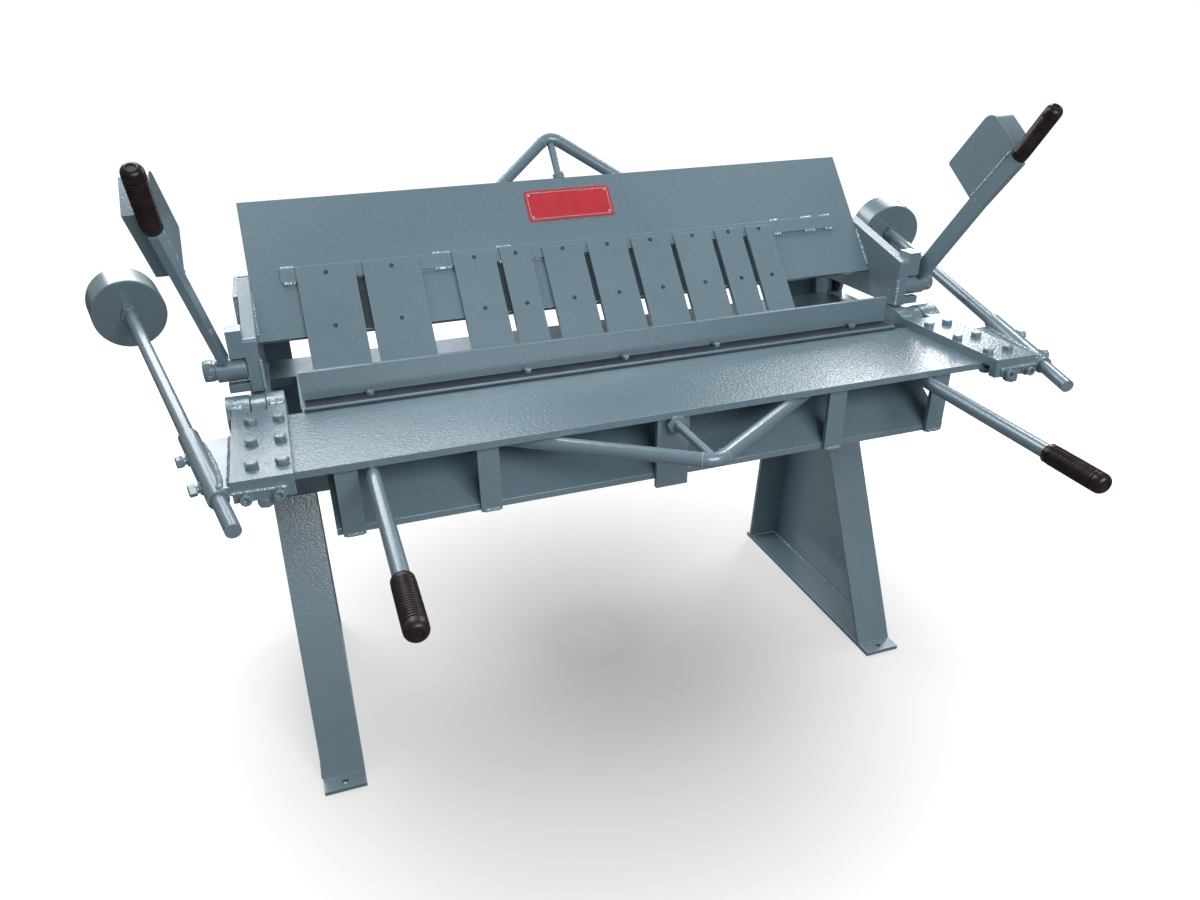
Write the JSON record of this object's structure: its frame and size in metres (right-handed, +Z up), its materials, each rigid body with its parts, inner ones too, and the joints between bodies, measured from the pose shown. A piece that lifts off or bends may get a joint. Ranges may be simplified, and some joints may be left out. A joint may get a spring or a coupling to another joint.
{
  "type": "sheet metal brake",
  "caption": "Hand-operated finger brake on two stands: a hinged bending leaf with counterweights, a clamping leaf with separate fingers, and clamp handles at both ends.",
  "frame": {"origin": "on the floor in the middle of the four foot bolt holes", "axes": "+X along the bend line to the operator's right, +Y from the front to the back, +Z up"},
  "size_m": [2.1094, 1.2582, 1.3417],
  "materials": {
    "paint": "hammered gloss",
    "leaf_paint": "hammered gloss",
    "bed_steel": "ground",
    "steel": "plain",
    "grip": "matte ribbed"
  },
  "bodies": {
    "frame": {"stand_left": "paint", "stand_right": "paint", "bed_top": "bed_steel", "bed_apron": "paint", "bed_side_left": "paint", "bed_side_right": "paint", "pivot_cheeks": "paint", "pivot_pins": "steel"},
    "bending_leaf": {"leaf_top": "leaf_paint", "leaf_web": "paint", "leaf_angle": "paint", "leaf_truss_rod": "paint", "leaf_truss_screw": "steel", "leaf_end_left": "leaf_paint", "leaf_end_right": "leaf_paint", "hinge_pins": "steel", "weight_arm_left": "paint", "weight_arm_right": "paint", "weight_rod_left": "paint", "weight_rod_right": "paint", "weight_left": "paint", "weight_right": "paint", "leaf_handle_left": "paint", "leaf_handle_right": "paint", "leaf_grip_left": "grip", "leaf_grip_right": "grip"},
    "clamping_leaf": {"top_plate": "paint", "finger_1": "paint", "finger_2": "paint", "finger_3": "paint", "finger_4": "paint", "finger_5": "paint", "finger_6": "paint", "finger_7": "paint", "finger_8": "paint", "finger_9": "paint", "finger_10": "paint", "top_end_left": "paint", "top_end_right": "paint", "top_truss_rod": "paint", "top_strut": "paint"},
    "clamp_handle_right": {"clamp_handle_right": "paint", "clamp_grip_right": "grip"},
    "clamp_handle_left": {"clamp_handle_left": "paint", "clamp_grip_left": "grip"}
  },
  "joints": [
    {"name": "leaf_swing", "type": "hinge", "parent": "frame", "child": "bending_leaf", "pos_m": [0, -0.2, 0.856], "axis": [-1, 0, 0], "range_deg": [-90, 45]},
    {"name": "clamp_lift", "type": "hinge", "parent": "frame", "child": "clamping_leaf", "pos_m": [0, 0.13, 0.56], "axis": [1, 0, 0], "range_deg": [-6, 0]},
    {"name": "clamp_turn_right", "type": "hinge", "parent": "clamping_leaf", "child": "clamp_handle_right", "pos_m": [0.757, -0.135, 0.932], "axis": [1, 0, 0], "range_deg": [-80, 0]},
    {"name": "clamp_turn_left", "type": "hinge", "parent": "clamping_leaf", "child": "clamp_handle_left", "pos_m": [-0.757, -0.135, 0.932], "axis": [1, 0, 0], "range_deg": [-80, 0]}
  ],
  "couplings": [
    {"joint": "clamp_turn_right", "follows": "clamp_lift", "ratio": 13.333},
    {"joint": "clamp_turn_left", "follows": "clamp_lift", "ratio": 13.333}
  ]
}
